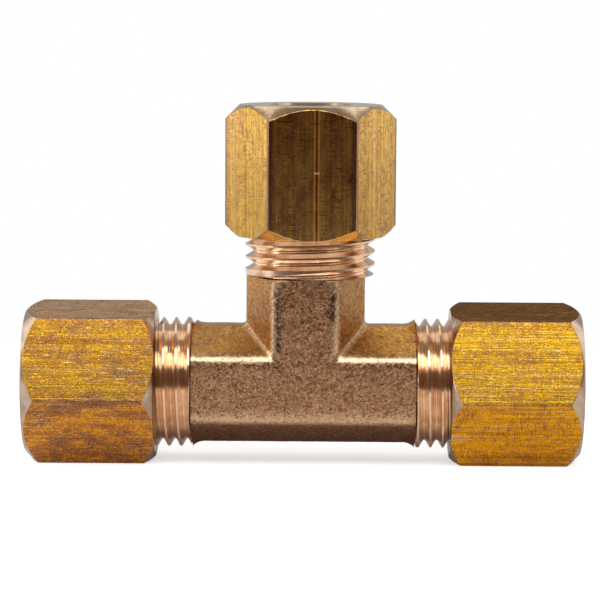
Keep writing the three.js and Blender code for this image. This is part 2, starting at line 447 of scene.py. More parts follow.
def land_strength(spots):
    """1 on the parting-line land, which was trimmed after forging."""
    return np.clip((LAND_HALF - np.abs(spots[:, 1])) / LAND_FADE, 0, 1)


def roughen(mesh):
    """Moves the forging's skin in and out by hundredths of a millimetre."""
    mesh.update()
    normals = np.zeros(len(mesh.vertices) * 3)
    mesh.vertices.foreach_get("normal", normals)
    spots = points_of(mesh)
    vectors = [Vector(spot) for spot in spots]
    height = np.zeros(len(vectors))
    for waves, high in SKIN_WAVES:
        height += high * np.array([noise.noise(spot * waves) for spot in vectors])
    tears = np.array([noise.noise(spot * LAP_WAVES) for spot in vectors])
    height *= 1 - LAND_CALM * land_strength(spots)
    height *= 1 - RUBBED_CALM * rubbed_strength(spots)
    height += lap_strength(spots) * (LAP_TEAR * tears - LAP_SINK)
    height += flare(spots)
    mesh.vertices.foreach_set("co", (spots + normals.reshape(-1, 3) * height[:, None]).ravel())


def fill_mitres(forging):
    """Turns the sharp inside corners beside the branch into fillets."""
    group = forging.vertex_groups.new(name="mitres")
    strengths = mitre_strength(points_of(forging.data))
    for index in np.flatnonzero(strengths > LEAST_MITRE):
        group.add([int(index)], float(strengths[index]), "REPLACE")
    smooth = forging.modifiers.new("fillet", "SMOOTH")
    smooth.factor, smooth.iterations = FILLET_SMOOTHING
    smooth.vertex_group = group.name
    forging.data = evaluated(forging)
    forging.modifiers.clear()
    forging.vertex_groups.clear()


def make_forging():
    """The body before any turning. Each end is spare metal that the facing cut takes off."""
    left, right, top = ARMS["left"], ARMS["right"], ARMS["top"]
    run = forged_limb("forging", -right["shoulder"] - SPARE_LENGTH, left["shoulder"] + SPARE_LENGTH)
    run.data.transform(arm_matrix(left))
    branch = forged_limb("branch", 0, top["shoulder"] + SPARE_LENGTH, -BRANCH_SHIFT)
    branch.data.transform(arm_matrix(top))
    combine(run, [("UNION", branch)])
    remesh = run.modifiers.new("remesh", "REMESH")
    remesh.mode = "VOXEL"
    remesh.voxel_size = VOXEL
    smooth = run.modifiers.new("smooth", "SMOOTH")
    smooth.factor, smooth.iterations = SKIN_SMOOTHING
    run.data = evaluated(run)
    run.modifiers.clear()
    fill_mitres(run)
    while len(run.data.materials) <= CUT:
        run.data.materials.append(None)
    run.data.polygons.foreach_set("material_index", np.full(len(run.data.polygons), RAW, np.int32))
    roughen(run.data)
    return run


def groove_section(radius, depth, mouth_half, inward):
    """A V groove with a round root, cut from radius, as (r, t) points about its middle."""
    way = -1 if inward else 1
    clear = radius - way * GROOVE_CLEAR
    corners = [
        (clear, -mouth_half),
        (radius, -mouth_half),
        (radius + way * depth, 0),
        (radius, mouth_half),
        (clear, mouth_half),
    ]
    reaches = [GROOVE_LIP, GROOVE_LIP, ROOT_ROUNDING, GROOVE_LIP, GROOVE_LIP]
    return rounded(corners, reaches, steps=7, closed=True)


def fade(first, length):
    """Lifts a cutter clear at the angle first, and brings it to depth over length degrees."""

    def lift(angle):
        t = min(max((angle - first) / length, 0), 1)
        return FADE_HEIGHT * (1 - math.sin(t * math.pi / 2))

    return lift


def arm_tools(side):
    """What shapes one arm: the faced shoulder, the blank, the thread groove and the bore."""
    arm = ARMS[side]
    foot = arm["ramp_top"] - RAMP_LENGTH
    facing = [
        (CORE_R, arm["shoulder"]),
        (FACING_R, arm["shoulder"]),
        (FACING_R, ARM_END),
        (CORE_R, ARM_END),
    ]
    blank = rounded(
        [
            (0, foot - BLANK_OVERLAP),
            (CORE_R, foot - BLANK_OVERLAP),
            (CORE_R, foot),
            (THREAD_R, arm["ramp_top"]),
            (THREAD_R, ARM_END - THREAD_END_CHAMFER),
            (THREAD_R - THREAD_END_CHAMFER, ARM_END),
            (0, ARM_END),
        ],
        TURNED_EDGE,
    )
    mouth_r = SOCKET_R + (ARM_END - SEAT_START) * SEAT_SLOPE
    bore = rounded(
        [
            (0, 0),
            (FLOW_BORE_R, 0),
            (FLOW_BORE_R, TUBE_STOP),
            (SOCKET_R, TUBE_STOP),
            (SOCKET_R, SEAT_START),
            (mouth_r, ARM_END),
            (mouth_r + 1, ARM_END + 1),
            (0, ARM_END + 1),
        ],
        DRILLED_EDGE,
    )
    mouth_half = PITCH / 2 - CREST_HALF
    section = groove_section(THREAD_R, THREAD_DEPTH + ROOT_FILL, mouth_half, inward=True)
    last = 360 * (ARM_END + PITCH - arm["crest_at"]) / PITCH
    groove = helical(
        side + "_groove",
        section,
        arm["crest_at"] + PITCH / 2,
        arm["groove_from"],
        last,
        fade(arm["groove_from"], FADE_DEGREES),
    )
    tools = [
        ("DIFFERENCE", turned_ring(side + "_facing", facing)),
        ("UNION", turned(side + "_blank", blank)),
        ("DIFFERENCE", groove),
        ("DIFFERENCE", turned(side + "_bore", bore, BORE_COLUMNS)),
    ]
    for _, tool in tools:
        tool.data.transform(arm_matrix(arm))
    return tools


def make_body():
    """The forging, turned. Each step is done on all three arms before the next."""
    tools = [arm_tools(side) for side in ARMS]
    order = [tool for step in zip(*tools) for tool in step]
    body = combine(make_forging(), order)
    body.name = "forged_tee"
    return body


# ---- Nut -----------------------------------------------------------------------------


def hexagon_radius(angle):
    """How far the rounded hexagon reaches at an angle; its corners are at 0, 60, ..."""
    off = abs((angle + math.pi / 6) % (math.pi / 3) - math.pi / 6)
    centre = (ACROSS_FLATS / 2 - NUT_CORNER_R) / math.cos(math.pi / 6)
    flat = ACROSS_FLATS / 2 / math.cos(math.pi / 6 - off)
    across = centre * math.sin(off)
    if across >= NUT_CORNER_R:
        return flat
    arc = centre * math.cos(off) + math.sqrt(NUT_CORNER_R**2 - across**2)
    return min(flat, arc)


def nut_angles():
    """Angles round the nut, close together at the hexagon's corners."""
    corner = np.linspace(-CORNER_DEGREES, CORNER_DEGREES, CORNER_COLUMNS)
    flat = np.linspace(CORNER_DEGREES, 60 - CORNER_DEGREES, FLAT_COLUMNS)[1:-1]
    one_sixth = np.concatenate([corner, flat])
    return np.radians(np.concatenate([60 * k + one_sixth for k in range(6)]))


def nut_blank():
    """Hexagon bar chamfered at both ends. Each column follows the flat and its chamfers."""
    angles = nut_angles()
    rows = []
    for angle in angles:
        reach = hexagon_radius(angle)
        low = max(reach - NUT_INNER_FACE_R, LEAST_CHAMFER)
        high = NUT_LENGTH - max(reach - NUT_OUTER_FACE_R, LEAST_CHAMFER)
        corners = [(0, 0), (reach - low, 0), (reach, low), (reach, high)]
        corners += [(reach - NUT_LENGTH + high, NUT_LENGTH), (0, NUT_LENGTH)]
        rows.append(rounded(corners, NUT_EDGE)[1:-1])
    size = len(rows[0])
    columns = len(angles)
    points = [
        (rows[i][k][0] * math.cos(a), rows[i][k][0] * math.sin(a), rows[i][k][1])
        for k in range(size)
        for i, a in enumerate(angles)
    ]
    faces = ring_faces(size, columns, closed=False)
    flats = range(EDGE_STEPS, size - EDGE_STEPS - 1)
    finishes = [RAW if ring in flats else CUT for ring in range(size - 1) for _ in range(columns)]
    foot, tip = len(points), len(points) + 1
    points += [(0, 0, 0), (0, 0, NUT_LENGTH)]
    last = (size - 1) * columns
    for i in range(columns):
        j = (i + 1) % columns
        faces += [(foot, j, i), (tip, last + i, last + j)]
        finishes += [CUT, CUT]
    made = new_object("nut", points, faces)
    made.data.polygons.foreach_set("material_index", np.array(finishes, np.int32))
    return made


def nut_tools():
    minor = THREAD_R - THREAD_DEPTH + PLAY
    drill = rounded(
        [
            (0, -1),
            (NUT_ENTRY_R + 1, -1),
            (minor, NUT_ENTRY_R - minor),
            (minor, NUT_THREAD_DEPTH),
            (NUT_HOLE_R, NUT_THREAD_DEPTH + minor - NUT_HOLE_R),
            (NUT_HOLE_R, NUT_LENGTH - NUT_MOUTH_CHAMFER),
            (NUT_HOLE_R + NUT_MOUTH_CHAMFER + 1, NUT_LENGTH + 1),
            (0, NUT_LENGTH + 1),
        ],
        DRILLED_EDGE,
    )
    section = groove_section(minor, THREAD_DEPTH + ROOT_FILL, NUT_GROOVE_HALF, inward=False)
    last = 360 * (NUT_THREAD_DEPTH - TAP_RUN_OUT) / PITCH
    sink = fade(-last, NUT_FADE_DEGREES)
    groove = helical("tap", section, NUT_GROOVE_AT, TAP_FROM, last, lambda angle: -sink(-angle))
    return [("DIFFERENCE", turned("drill", drill)), ("DIFFERENCE", groove)]


def nut_end(side):
    """How far along its arm a nut's threaded end is."""
    outward = Vector(ARMS[side]["outward"])
    return min(outward.dot(corner / MM - CROSSING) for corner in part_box(side + "_nut"))


def nut_matrix(side):
    """A nut has turned once for each pitch that it stands back."""
    arm = ARMS[side]
    back = nut_end(side) + NUT_GROOVE_AT - arm["crest_at"]
    spin = Matrix.Rotation(2 * math.pi * back / PITCH, 4, "Z")
    return arm_matrix(arm) @ Matrix.Translation((0, 0, nut_end(side))) @ spin


def flat_facing(side, direction):
    """The way, in a nut's own X and Y, to the flat that faces most nearly in a direction."""
    own = nut_matrix(side).to_3x3().inverted() @ Vector(direction)
    sixth, first = math.radians(60), math.radians(30)
    flat = sixth * round((math.atan2(own.y, own.x) - first) / sixth) + first
    return math.cos(flat), math.sin(flat)


# ---- Ferrule -------------------------------------------------------------------------


def make_ferrule():
    taper = (FERRULE_MIDDLE_R - FERRULE_TIP_R) / SEAT_SLOPE
    corners = [
        (FERRULE_BORE_R, 0),
        (FERRULE_TIP_R, 0),
        (FERRULE_MIDDLE_R, taper),
        (FERRULE_MIDDLE_R, FERRULE_LENGTH - taper),
        (FERRULE_TIP_R, FERRULE_LENGTH),
        (FERRULE_BORE_R, FERRULE_LENGTH),
    ]
    return turned_ring("ferrule", rounded(corners, FERRULE_EDGE, steps=5, closed=True))


def ferrule_matrix(side):
    outward = Vector(ARMS[side]["outward"])
    start = min(outward.dot(corner / MM - CROSSING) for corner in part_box(side + "_ferrule"))
    return arm_matrix(ARMS[side]) @ Matrix.Translation((0, 0, start))


# ---- From millimetres to the row frame -----------------------------------------------


def keep(mesh, name, vectors):
    attribute = mesh.attributes.new(name, "FLOAT_VECTOR", "POINT")
    attribute.data.foreach_set("vector", np.asarray(vectors, np.float32).ravel())


def own_lathe(spots):
    """Radius and height about a piece's own Z axis."""
    x, y, z = spots.T
    return np.stack([np.hypot(x, y), z, 0 * z], axis=1)


def arm_lathe(spots):
    """Radius and distance out along whichever arm of the body a point is on."""
    x, y, z = spots.T
    on_run = np.abs(x) > z
    radius = np.where(on_run, np.hypot(y, z), np.hypot(x, y))
    return np.stack([radius, np.where(on_run, np.abs(x), z), 0 * z], axis=1)


def settle(piece, matrix, materials, body, node, lathe=own_lathe):
    """Keeps each point's own coordinates, in mm, and puts the mesh in the frame."""
    mesh = piece.data
    spots = points_of(mesh)
    keep(mesh, "local", spots)
    keep(mesh, "lathe", lathe(spots))
    mesh.transform(Matrix.Scale(MM, 4) @ Matrix.Translation(CROSSING) @ matrix)
    mesh.polygons.foreach_set("use_smooth", np.ones(len(mesh.polygons), bool))
    mesh.set_sharp_from_angle(angle=math.radians(SHARP_DEGREES))
    for index, material in enumerate(materials):
        mesh.materials[index] = material
    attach(piece, body)
    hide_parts(node)


def copy_of(piece, name):
    made = piece.copy()
    made.data = piece.data.copy()
    made.name = name
    bpy.context.collection.objects.link(made)
    return made


# ---- Materials: patterns are laid out in millimetres on the "local" attribute ---------

# Drawn brass: what its tarnish, marks and seam are mixed towards. The scratches' pale
# also colors the painted glints, and the seam's rim and groove colors are painted
# highlight and painted shade.
MOTTLE_BROWN = (0.34, 0.15, 0.06)
SMOKE_BROWN = (0.2, 0.1, 0.065)
CORNER_BROWN = (0.27, 0.14, 0.1)
RUB_BROWN = (0.34, 0.13, 0.04)
DENT_BROWN = (0.14, 0.06, 0.02)
DRAWN_LINE_PALE = (0.8, 0.55, 0.36)
SCRATCH_PALE = (0.95, 0.75, 0.36)
SEAM_RIM_ORANGE = (0.95, 0.42, 0.07)
SEAM_BROWN = (0.2, 0.05, 0.01)
NICK_PALE = (0.98, 0.82, 0.55)

# Turned brass.
SPECK_BROWN = (0.2, 0.09, 0.04)

# Forged brass: the skin of the flats, the amber of the sloping flats and the marks on both.
# The amber is partly painted light, and darker under the run as painted shade. The pale
# patch is a painted reflection, the glint pale is painted glints, and the edges' pale is
# partly rubbing and partly painted highlight.
SKIN_PALE = (0.53, 0.27, 0.135)
SKIN_DEEP = (0.46, 0.23, 0.1)
AMBER_PALE = (0.7, 0.35, 0.03)
AMBER_DEEP = (0.54, 0.24, 0.025)
AMBER_BELOW = (0.27, 0.082, 0.012)
BLOOM = (0.6, 0.38, 0.21)
SPOT_BROWN = (0.3, 0.14, 0.075)
GRAIN_BROWN = (0.11, 0.045, 0.022)
PIT_BROWN = (0.09, 0.04, 0.02)
LAP_BROWN = (0.08, 0.04, 0.03)
GRIT_PALE = (0.9, 0.55, 0.32)
WRINKLE_PALE = (0.98, 0.62, 0.38)
SCUFF_PALE = (0.85, 0.62, 0.4)
RUBBED_PALE = (0.88, 0.68, 0.42)
LAND_GREY = (0.42, 0.33, 0.27)


class Nodes:
    """One material's nodes. Each method adds a node and returns its output."""

    def __init__(self, name):
        self.material = bpy.data.materials.new(name)
        self.material.use_nodes = True
        self.tree = self.material.node_tree
        self.shader = self.tree.nodes["Principled BSDF"]
        self.shader.inputs["Metallic"].default_value = 1

    def add(self, kind, inputs, output=0, **settings):
        node = self.tree.nodes.new("ShaderNode" + kind)
        for key, value in settings.items():
            setattr(node, key, value)
        for key, value in inputs.items():
            self.feed(node.inputs[key], value)
        return node.outputs[output]

    def feed(self, socket, value):
        if isinstance(value, bpy.types.NodeSocket):
            self.tree.links.new(value, socket)
        else:
            socket.default_value = value

    def attribute(self, name):
        return self.add("Attribute", {}, output="Vector", attribute_name=name)

    def stretched(self, vector, scales, shift=(0, 0, 0)):
        return self.add("VectorMath", {0: vector, 1: scales, 2: shift}, operation="MULTIPLY_ADD")

    def turned(self, vector, degrees):
        angles = [math.radians(d) for d in degrees]
        return self.add("Mapping", {"Vector": vector, "Rotation": angles})

    def noise(self, vector, scales, shift=(0, 0, 0), detail=2, roughness=0.5, distortion=0.0):
        """A cloudy pattern, 0 to 1, whose waves per millimetre along each axis are scales."""
        inputs = {"Vector": self.stretched(vector, scales, shift), "Scale": 1.0, "Detail": detail}
        return self.add("TexNoise", {**inputs, "Roughness": roughness, "Distortion": distortion})

    def range(self, value, low, high, to_low=0.0, to_high=1.0):
        places = {"Value": value, "From Min": low, "From Max": high}
        return self.add("MapRange", {**places, "To Min": to_low, "To Max": to_high})

    def math(self, operation, first, second=0.0):
        return self.add("Math", {0: first, 1: second}, operation=operation)

    def times(self, first, second):
        return self.math("MULTIPLY", first, second)

    def plus(self, first, second):
        return self.math("ADD", first, second)

    def off(self, value, middle):
        """How far a value is from middle, to either side."""
        return self.math("ABSOLUTE", self.plus(value, -middle))

    def part(self, vector, axis):
        return self.add("SeparateXYZ", {0: vector}, output=axis)

    def toward(self, vector, way):
        """How far a point is along (x, y), a way across a piece's own axis."""
        vectors = {0: vector, 1: (*way, 0)}
        return self.add("VectorMath", vectors, output="Value", operation="DOT_PRODUCT")

    def shade(self, color, amount):
        return self.add("VectorMath", {0: color, "Scale": amount}, operation="SCALE")

    def mix(self, factor, first, second):
        """Sockets 6, 7 and 2 are the Mix node's two colors and its color result."""
        colors = {6: self.color(first), 7: self.color(second)}
        return self.add("Mix", {0: factor, **colors}, output=2, data_type="RGBA")

    def color(self, value):
        return (*value, 1) if isinstance(value, tuple) else value

    def bump(self, height, depth, normal=None):
        """Relief of depth millimetres where height goes from 0 to 1."""
        bumped = self.add("Bump", {"Height": height, "Distance": depth * MM})
        if normal is not None:
            self.tree.links.new(normal, bumped.node.inputs["Normal"])
        return bumped

    def finish(self, color, roughness, normal):
        self.feed(self.shader.inputs["Base Color"], color)
        self.feed(self.shader.inputs["Roughness"], roughness)
        self.feed(self.shader.inputs["Normal"], normal)
        return self.material


def scratches(nodes, place, degrees, fineness, width):
    """Thin broken lines: 1 on a scratch, 0 off it. They run along Z before turning."""
    along = nodes.turned(place, degrees)
    lines = nodes.noise(along, (fineness, fineness, fineness * 0.06), detail=0)
    line = nodes.range(nodes.off(lines, 0.5), 0, width, 1, 0)
    broken = nodes.noise(along, (1.7, 1.7, 0.8), (3, 9, 4), detail=1)
    return nodes.times(line, nodes.range(broken, 0.55, 0.62))


def drawn_brass(
    name,
    seed,
    pale,
    deep,
    tarnish,
    wear,
    axis,
    stains=(),
    seam=None,
    corner_from=7.26,
    dull=0.2,
    edge_tint=None,
):
    """Hexagon bar as drawn: fine streaks along Z, dark rubs across it, scratches and tarnish.

    seed moves the patterns, so that the nuts differ. pale and deep are the colors of the
    bands. Each entry of stains is (way to a flat in the nut's own frame, color, color of its
    blotches): a tone of that flat's own, partly tarnish and partly painted light and shade for
    the way the flat faces. The seam is a drawing mark along one flat: (way to the flat, how
    far off its middle); its rims are painted pale as painted highlight, and its groove dark as
    painted shade. wear scales the scratches and the grit, and also the painted glints. The
    corners darken from the radius corner_from outward, dull is the least roughness, and
    edge_tint is the color of what the metal reflects at a glancing angle."""
    nodes = Nodes(name)
    local = nodes.attribute("local")
    place = nodes.stretched(local, (1, 1, 1), (seed, seed * 1.7, seed * 0.6))

    hair = nodes.noise(place, (15, 15, 0.6), detail=2, roughness=0.6)
    fine = nodes.noise(place, (9, 9, 0.1), detail=1, roughness=0.5)
    bands = nodes.noise(place, (1.6, 1.6, 0.05), detail=2)
    mottle = nodes.noise(place, (2.4, 2.4, 1.2), detail=6, roughness=0.75)
    grit = nodes.noise(place, (11, 11, 7), detail=2, roughness=0.6)
    rubs = nodes.noise(place, (0.9, 0.9, 6.5), (1, 5, 2), detail=4, roughness=0.7)
    clouds = nodes.noise(place, (0.5, 0.5, 0.35), detail=6, roughness=0.7, distortion=0.5)
    rubs = nodes.times(nodes.range(rubs, 0.53, 0.57), nodes.range(clouds, 0.44, 0.52))
    long_marks = scratches(nodes, place, (3, 1, 0), 3.2, 0.014)
    cross_marks = scratches(nodes, place, (35, 50, 10), 1.6, 0.007)
    other_marks = scratches(nodes, place, (-60, 30, 70), 1.9, 0.006)
    marks = nodes.math("MAXIMUM", long_marks, nodes.math("MAXIMUM", cross_marks, other_marks))
    dents = nodes.range(grit, 0.66, 0.74)
    glints = nodes.range(nodes.noise(place, (7, 7, 4), (4, 8, 2), detail=2), 0.62, 0.66)
    drawing = nodes.noise(place, (2.6, 2.6, 0.015), (6, 6, 1), detail=0)
    drawing = nodes.range(nodes.off(drawing, 0.5), 0, 0.012, 1, 0)
    blotches = nodes.noise(place, (1.1, 1.1, 0.45), (7, 2, 5), detail=5, roughness=0.6)

    color = nodes.mix(nodes.range(bands, 0.38, 0.62), deep, pale)
    # Each flat so listed gets a tone of its own, partly tarnish and partly painted light and shade
    # for the way that flat faces.
    for flat, stain, blotch in stains:
        spread = nodes.range(nodes.toward(local, flat), FLAT_FROM, FLAT_TO, 0, 0.9)
        stained = nodes.mix(nodes.range(blotches, 0.42, 0.6), stain, blotch)
        color = nodes.mix(spread, color, stained)
    color = nodes.mix(nodes.range(mottle, 0.47, 0.66, 0, 0.7), color, MOTTLE_BROWN)
    smoke = nodes.range(clouds, 0.6 - tarnish, 0.7 - tarnish / 2, 0, 0.8)
    color = nodes.mix(smoke, color, SMOKE_BROWN)
    color = nodes.shade(color, nodes.range(fine, 0.32, 0.68, 1.2, 0.74))
    color = nodes.shade(color, nodes.range(hair, 0.35, 0.65, 0.86, 1.14))
    color = nodes.shade(color, nodes.range(grit, 0.38, 0.62, 1 + 0.55 * wear, 1 - 0.55 * wear))
    corner = nodes.range(nodes.part(nodes.attribute("lathe"), "X"), corner_from, corner_from + 0.06)
    color = nodes.mix(nodes.times(corner, 0.8), color, CORNER_BROWN)
    color = nodes.mix(nodes.times(rubs, 0.8), color, RUB_BROWN)
    color = nodes.mix(nodes.times(drawing, 0.5), color, DRAWN_LINE_PALE)
    # Painted glints: pale specks added to the scratches.
    bare = nodes.plus(marks, nodes.times(glints, 0.5))
    color = nodes.mix(nodes.times(bare, wear), color, SCRATCH_PALE)
    color = nodes.mix(dents, color, DENT_BROWN)

    roughness = nodes.range(mottle, 0.35, 0.7, dull, dull + 0.2)
    relief = nodes.plus(nodes.times(fine, 0.5), nodes.times(hair, 0.35))
    normal = nodes.bump(nodes.plus(relief, nodes.times(grit, 0.7)), 0.15 * dull)
    cuts = nodes.plus(nodes.times(marks, wear), dents)
    normal = nodes.bump(nodes.times(cuts, -1.0), 0.05 * dull, normal)
    if seam:
        (x, y), offset = seam
        on_flat = nodes.range(nodes.toward(local, (x, y)), FLAT_FROM, FLAT_TO)
        aside = nodes.off(nodes.toward(local, (-y, x)), offset)
        line = nodes.times(on_flat, nodes.range(aside, 0.04, 0.08, 1, 0))
        rims = nodes.times(on_flat, nodes.range(nodes.off(aside, SEAM_RIM), 0.02, 0.09, 1, 0))
        # Painted highlight along the seam's rims, and painted shade in its groove.
        color = nodes.mix(nodes.times(rims, 0.8), color, SEAM_RIM_ORANGE)
        color = nodes.mix(nodes.times(line, 0.9), color, SEAM_BROWN)
        up = nodes.off(nodes.part(local, "Z"), NICK_HEIGHT)
        nick = nodes.times(on_flat, nodes.range(up, 0.05, 0.12, 1, 0))
        nick = nodes.times(nick, nodes.range(aside, 0.16, 0.26, 1, 0))
        color = nodes.mix(nick, color, NICK_PALE)
        roughness = nodes.plus(roughness, nodes.times(nodes.plus(rims, nick), 0.22))
        normal = nodes.bump(nodes.plus(nodes.times(rims, 0.5), nodes.times(line, -1.0)), 0.02, normal)
    nodes.shader.inputs["Anisotropic"].default_value = 0.6
    if edge_tint:
        nodes.shader.inputs["Specular Tint"].default_value = (*edge_tint, 1)
    around = nodes.add("Tangent", {}, direction_type="RADIAL", axis=axis)
    nodes.feed(nodes.shader.inputs["Tangent"], around)
    return nodes.finish(color, roughness, normal)


def turned_brass(name, pale, dark, roughness):
    """Brass cut on a lathe: fine rings about the axis, darker along some of them, duller in patches.
    """
    nodes = Nodes(name)
    lathe = nodes.attribute("lathe")
    local = nodes.attribute("local")
    rings = nodes.noise(lathe, (14, 14, 0), detail=3, roughness=0.7)
    patches = nodes.noise(local, (0.9, 0.9, 0.9), detail=5, roughness=0.65)
    specks = nodes.range(nodes.noise(local, (7, 7, 7), detail=2), 0.66, 0.76)
    color = nodes.mix(nodes.range(patches, 0.4, 0.75), pale, dark)
    color = nodes.mix(nodes.range(rings, 0.48, 0.7, 0, 0.5), color, dark)
    color = nodes.mix(nodes.times(specks, 0.6), color, SPECK_BROWN)
    shine = nodes.range(patches, 0.3, 0.7, roughness, roughness + 0.14)
    return nodes.finish(color, shine, nodes.bump(rings, 0.006))


def forged_brass(name):
    """Hot forged and pickled skin: granular, coppery, with oxide in its laps and pits."""
    nodes = Nodes(name)
    local = nodes.attribute("local")
    marks = nodes.attribute("marks")
    grain = nodes.noise(local, (4, 4, 4), detail=5, roughness=0.78, distortion=0.6)
    strokes = [
        nodes.noise(nodes.turned(local, (0, angle, 0)), (9, 9, 2.6), detail=3)
        for angle in (38, -47, 85)
    ]
    grit = nodes.math("MAXIMUM", strokes[0], nodes.math("MAXIMUM", strokes[1], strokes[2]))
    patches = nodes.noise(local, (0.5, 0.5, 0.5), detail=5, roughness=0.62)
    spots = nodes.noise(local, (2.2, 2.2, 2.2), (5, 1, 7), detail=6, roughness=0.75)
    pits = nodes.range(nodes.noise(local, (4, 4, 4), (2, 6, 3), detail=2), 0.66, 0.74)
    wrinkles = nodes.noise(local, (2.6, 2.6, 2.6), (9, 4, 6), detail=2, distortion=0.9)
    wrinkles = nodes.range(nodes.off(wrinkles, 0.5), 0, 0.045, 1, 0)
    wrinkles = nodes.times(wrinkles, nodes.range(spots, 0.38, 0.52))
    scuffs = scratches(nodes, local, (70, 40, 20), 2.0, 0.02)

    depth = nodes.math("ABSOLUTE", nodes.part(local, "Y"))
    slope = nodes.range(depth, HALF_DEPTH - 0.8, HALF_DEPTH - 0.3, 0.95, 0)
    # The sloping flats get an amber tone of their own: partly the skin's color there, partly painted
    # light for the way they face.
    amber = nodes.mix(nodes.range(patches, 0.4, 0.62), AMBER_PALE, AMBER_DEEP)
    color = nodes.mix(nodes.range(patches, 0.36, 0.66), SKIN_PALE, SKIN_DEEP)
    # Painted reflection: a milky pale patch on the branch's sloping flats, from Z = 4.8 up.
    bloom = nodes.noise(local, (0.9, 0.9, 0.5), (3, 3, 8), detail=3)
    bloom = nodes.range(bloom, 0.5, 0.64)
    bloom = nodes.times(bloom, nodes.range(nodes.part(local, "Z"), 4.8, 5.8, 0, 0.42))
    amber = nodes.mix(bloom, amber, BLOOM)
    # Painted light: the amber is painted paler out towards the right arm, from X = 4.2 to 6.6, and
    # darker elsewhere.
    amber = nodes.shade(amber, nodes.range(nodes.part(local, "X"), 4.2, 6.6, 0.82, 1.28))
    # Painted shade: the sloping flats under the run are painted a dark amber.
    below = nodes.range(nodes.part(local, "Z"), -FRONT_FLAT_HALF, -FRONT_FLAT_HALF - 0.6)
    amber = nodes.mix(below, amber, AMBER_BELOW)
    color = nodes.mix(slope, color, amber)
    color = nodes.mix(nodes.range(spots, 0.45, 0.7, 0, 0.65), color, SPOT_BROWN)
    rough = nodes.range(slope, 0, 1, 1, 0.75)
    crisp = nodes.range(slope, 0, 1, 1, 0.35)
    hollows = nodes.times(nodes.range(grain, 0.46, 0.6, 0, 0.92), rough)
    color = nodes.mix(hollows, color, GRAIN_BROWN)
    # Painted glints: pale specks, mostly on the flats.
    glints = nodes.times(nodes.range(grit, 0.58, 0.68, 0, 0.65), crisp)
    color = nodes.mix(glints, color, GRIT_PALE)
    color = nodes.mix(nodes.times(nodes.times(wrinkles, 0.75), crisp), color, WRINKLE_PALE)
    color = nodes.mix(nodes.times(scuffs, 0.5), color, SCUFF_PALE)
    color = nodes.mix(nodes.times(pits, 0.8), color, PIT_BROWN)
    # The long edges are painted paler, partly rubbing and partly painted highlight, and the mitres'
    # fillets paler as painted highlight.
    rubbed = nodes.times(nodes.part(marks, "Z"), nodes.range(grain, 0.66, 0.5))
    color = nodes.mix(nodes.times(rubbed, 0.9), color, RUBBED_PALE)
    lap = nodes.times(nodes.part(marks, "X"), nodes.range(grain, 0.34, 0.5))
    color = nodes.mix(nodes.times(lap, 0.9), color, LAP_BROWN)
    color = nodes.mix(nodes.times(nodes.part(marks, "Y"), 0.6), color, LAND_GREY)

    roughness = nodes.plus(nodes.range(spots, 0.35, 0.7, 0.22, 0.38), nodes.times(rubbed, -0.06))
    relief = nodes.plus(grain, nodes.plus(nodes.times(grit, 0.4), nodes.times(wrinkles, 0.45)))
    relief = nodes.times(relief, nodes.range(nodes.part(marks, "Z"), 0, 0.9, 1, 0.12))
    normal = nodes.bump(relief, 0.02)
    normal = nodes.bump(nodes.times(pits, -1.0), 0.016, normal)
    return nodes.finish(color, roughness, normal)


# ---- Floor and light -----------------------------------------------------------------

# In metres, as Blender is.
FLOOR_HALF = 2.0
FLOOR_FADE_FROM = 0.03
FLOOR_FADE_TO = 0.09
SHEET_EDGE = -0.045
SHEET_BLUR = 0.02
SHEET_TONE = (0.88, 0.88, 0.88)
TABLE_TONE = (0.13, 0.1, 0.085)
ROOM_FRONT = (0.095, 0.051, 0.024)
ROOM_REAR = (0.45, 0.45, 0.45)
SHEET_GLOW = 0.6

# Each softbox: its name, its place, how wide and high it is, and how bright.
SOFTBOXES = (
    ("front_softbox", (0, -0.386, 0.522), (1.5, 0.33), 2.65),
    ("overhead_softbox", (0, 0.305, 0.574), (0.8, 0.35), 0.75),
    ("left_softbox", (-0.52, 0.3, 0.15), (0.4, 0.5), 1.2),
    ("right_softbox", (0.52, 0.3, 0.15), (0.4, 0.5), 0.95),
    ("left_strip", (-0.56, -0.14, 0.3), (0.13, 0.9), 4.0),
)


